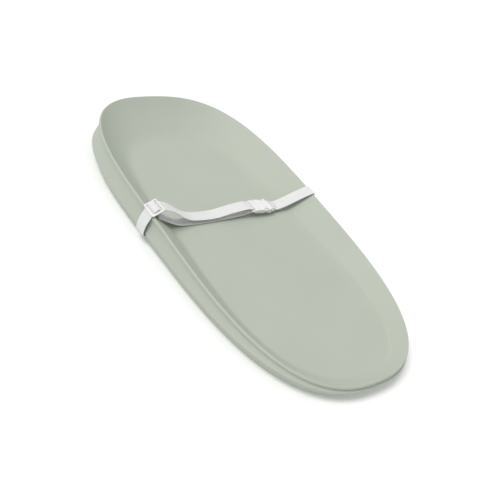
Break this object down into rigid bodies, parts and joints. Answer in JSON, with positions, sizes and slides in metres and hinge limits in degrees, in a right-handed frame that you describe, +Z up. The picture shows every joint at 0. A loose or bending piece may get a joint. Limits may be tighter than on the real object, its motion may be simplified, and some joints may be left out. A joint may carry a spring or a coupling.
{
  "type": "changing mat",
  "caption": "Dished one-piece foam changing mat with a high head rim, a low foot rim and a webbing safety strap closed by a side release buckle.",
  "frame": {"origin": "on the surface the mat lies on, under the middle of its outer box", "axes": "+X towards the high head end, +Y towards the left side where the slider is, +Z up"},
  "size_m": [0.8, 0.43, 0.0809],
  "materials": {
    "foam_skin": "satin",
    "webbing": "matte",
    "white_plastic": "satin",
    "thread": "matte"
  },
  "bodies": {
    "pad": {"pad_shell": "foam_skin", "strap_right_side": "webbing", "strap_under_pad": "webbing", "strap_left_side": "webbing", "female_buckle": "white_plastic", "tack_female_end": "thread", "strap_slider_run": "webbing", "strap_upper_layer": "webbing", "strap_sewn_layer": "webbing", "strap_buckle_loop": "webbing"},
    "male_half": {"male_buckle": "white_plastic"},
    "arm_head_side": {"arm_head_side": "white_plastic"},
    "arm_foot_side": {"arm_foot_side": "white_plastic"},
    "slider": {"slider": "white_plastic", "tack_slider_end": "thread"}
  },
  "joints": [
    {"name": "buckle_release", "type": "slide", "parent": "pad", "child": "male_half", "axis": [0, 0.9962, 0.0872], "range_m": [0, 0.03], "deforming": ["strap_buckle_loop", "arm_head_side", "arm_foot_side"]},
    {"name": "arm_press_head_side", "type": "hinge", "parent": "male_half", "child": "arm_head_side", "pos_m": [0.06545, -0.06376, 0.0408], "axis": [0, 0.0872, -0.9962], "range_deg": [0, 12], "stiffness_Nm_per_rad": 0.5},
    {"name": "arm_press_foot_side", "type": "hinge", "parent": "male_half", "child": "arm_foot_side", "pos_m": [0.04254, -0.06376, 0.0408], "axis": [0, -0.0872, 0.9962], "range_deg": [0, 12], "stiffness_Nm_per_rad": 0.5},
    {"name": "strap_adjust", "type": "slide", "parent": "pad", "child": "slider", "axis": [0, -0.9903, 0.1392], "range_m": [0, 0.04], "deforming": ["strap_slider_run", "strap_upper_layer", "strap_sewn_layer"]}
  ]
}
